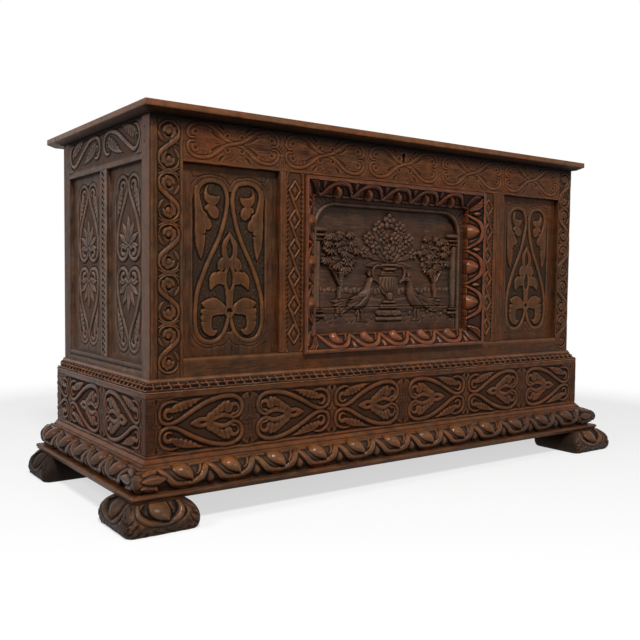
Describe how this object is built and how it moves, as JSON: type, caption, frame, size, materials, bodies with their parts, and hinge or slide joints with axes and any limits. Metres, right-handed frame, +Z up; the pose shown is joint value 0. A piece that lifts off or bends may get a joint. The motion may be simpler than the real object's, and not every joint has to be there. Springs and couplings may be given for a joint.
{
  "type": "cassone",
  "caption": "Low carved oak storage chest: panelled sides, moulded plinth on block feet, hinged plank lid with iron straps and an inside lock.",
  "frame": {"origin": "centre of the overall plan (feet and lid included), on the floor", "axes": "+X along the front to the right as seen from the front, +Y from the carved front to the back, +Z up"},
  "size_m": [1.425, 0.646, 0.8045],
  "materials": {
    "oak_front": "carved oak, red-brown, waxed, worn lighter on its edges",
    "oak_relief": "carved oak, darker brown, waxed, worn highlights",
    "oak_side": "carved oak, cooler grey-brown, dull wax",
    "oak_back": "plain planed oak, unpolished",
    "oak_plinth": "carved oak, warm orange-brown, waxed",
    "oak_feet": "carved oak, dark brown, worn near the floor",
    "oak_lid": "planed oak boards, waxed, worn at the edges",
    "oak_inner": "dry unfinished oak",
    "oak_pegs": "dry cleft oak",
    "wrought_iron": "black forged iron, dull"
  },
  "bodies": {
    "carcass": {"arch_board": "oak_relief", "base_board_back": "oak_plinth", "base_board_front": "oak_plinth", "base_board_left": "oak_plinth", "base_board_right": "oak_plinth", "floor_boards": "oak_inner", "foot_back_left": "oak_feet", "foot_back_right": "oak_feet", "foot_front_left": "oak_feet", "foot_front_right": "oak_feet", "frame_moulding_bottom": "oak_front", "frame_moulding_left": "oak_front", "frame_moulding_right": "oak_front", "frame_moulding_top": "oak_front", "frieze_board_front": "oak_plinth", "frieze_board_left": "oak_plinth", "frieze_board_right": "oak_plinth", "hinge_batten": "oak_back", "hinge_pins": "wrought_iron", "hinge_straps_fixed": "wrought_iron", "joint_pegs": "oak_pegs", "lid_back_strip": "oak_lid", "lock_case": "wrought_iron", "muntin_front_left": "oak_front", "muntin_front_right": "oak_front", "muntin_left": "oak_side", "muntin_right": "oak_side", "muntins_back": "oak_back", "panel_front_left": "oak_front", "panel_front_right": "oak_front", "panel_left_back": "oak_side", "panel_left_front": "oak_side", "panel_right_back": "oak_side", "panel_right_front": "oak_side", "panels_back": "oak_back", "plinth_board_back": "oak_back", "plinth_nails": "wrought_iron", "post_back_left": "oak_side", "post_back_right": "oak_side", "post_front_left": "oak_front", "post_front_right": "oak_front", "rail_front_bottom": "oak_front", "rail_front_top": "oak_front", "rail_left_bottom": "oak_side", "rail_left_top": "oak_side", "rail_right_bottom": "oak_side", "rail_right_top": "oak_side", "rails_back": "oak_back", "relief_planks": "oak_relief", "torus_moulding_front": "oak_plinth", "torus_moulding_left": "oak_plinth", "torus_moulding_right": "oak_plinth", "waist_moulding_front": "oak_plinth", "waist_moulding_left": "oak_plinth", "waist_moulding_right": "oak_plinth"},
    "lid": {"lid_boards": "oak_lid", "lid_cleats": "oak_lid", "lid_staple": "wrought_iron", "hinge_straps_lid": "wrought_iron"},
    "bolt": {"lock_bolt": "wrought_iron"}
  },
  "joints": [
    {"name": "lid_hinge", "type": "hinge", "parent": "carcass", "child": "lid", "pos_m": [0, 0.26, 0.8], "axis": [-1, 0, 0], "range_deg": [0, 100]},
    {"name": "bolt_slide", "type": "slide", "parent": "carcass", "child": "bolt", "axis": [1, 0, 0], "range_m": [0, 0.014]}
  ]
}
